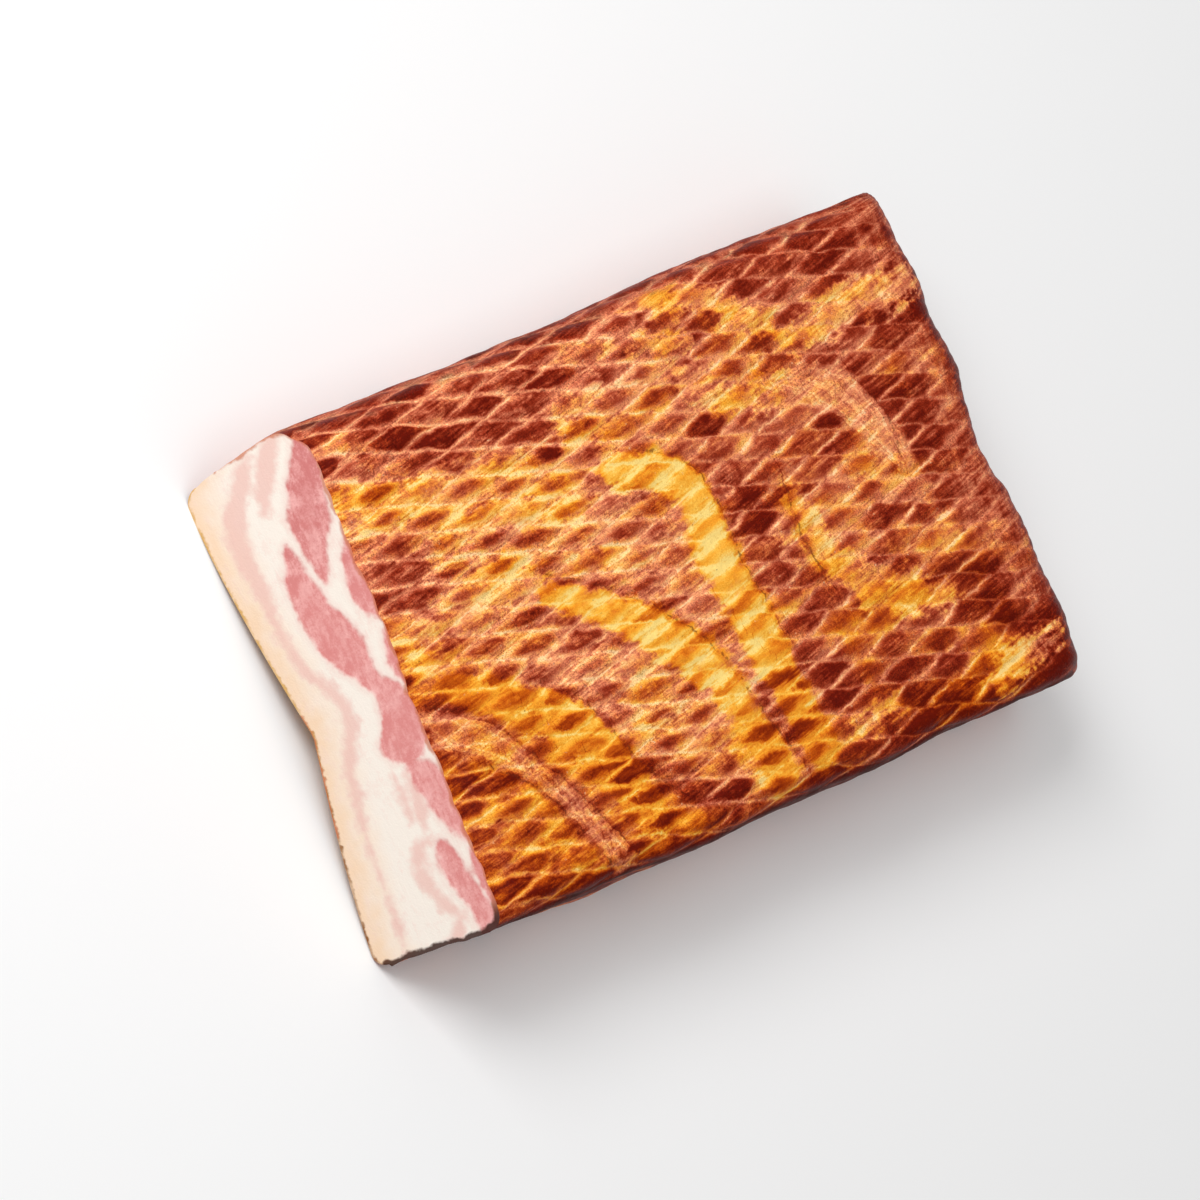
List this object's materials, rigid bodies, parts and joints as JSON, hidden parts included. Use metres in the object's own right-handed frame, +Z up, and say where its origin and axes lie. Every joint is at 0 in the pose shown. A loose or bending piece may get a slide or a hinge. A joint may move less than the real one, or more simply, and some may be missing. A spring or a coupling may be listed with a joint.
{
  "type": "slab of smoked streaky bacon",
  "caption": "Unsliced slab of smoked streaky bacon lying rind side down, with a leaning fresh cut at one end, net-marked skin and a rounded far end.",
  "frame": {"origin": "middle of the slab's outline, on the surface it rests on", "axes": "+X along the slab from the fresh cut to the far end, +Y across it, +Z up"},
  "size_m": [0.3128, 0.1922, 0.0543],
  "materials": {
    "smoked_belly": "satin"
  },
  "bodies": {
    "root": {"bacon_slab": "smoked_belly"}
  },
  "joints": []
}
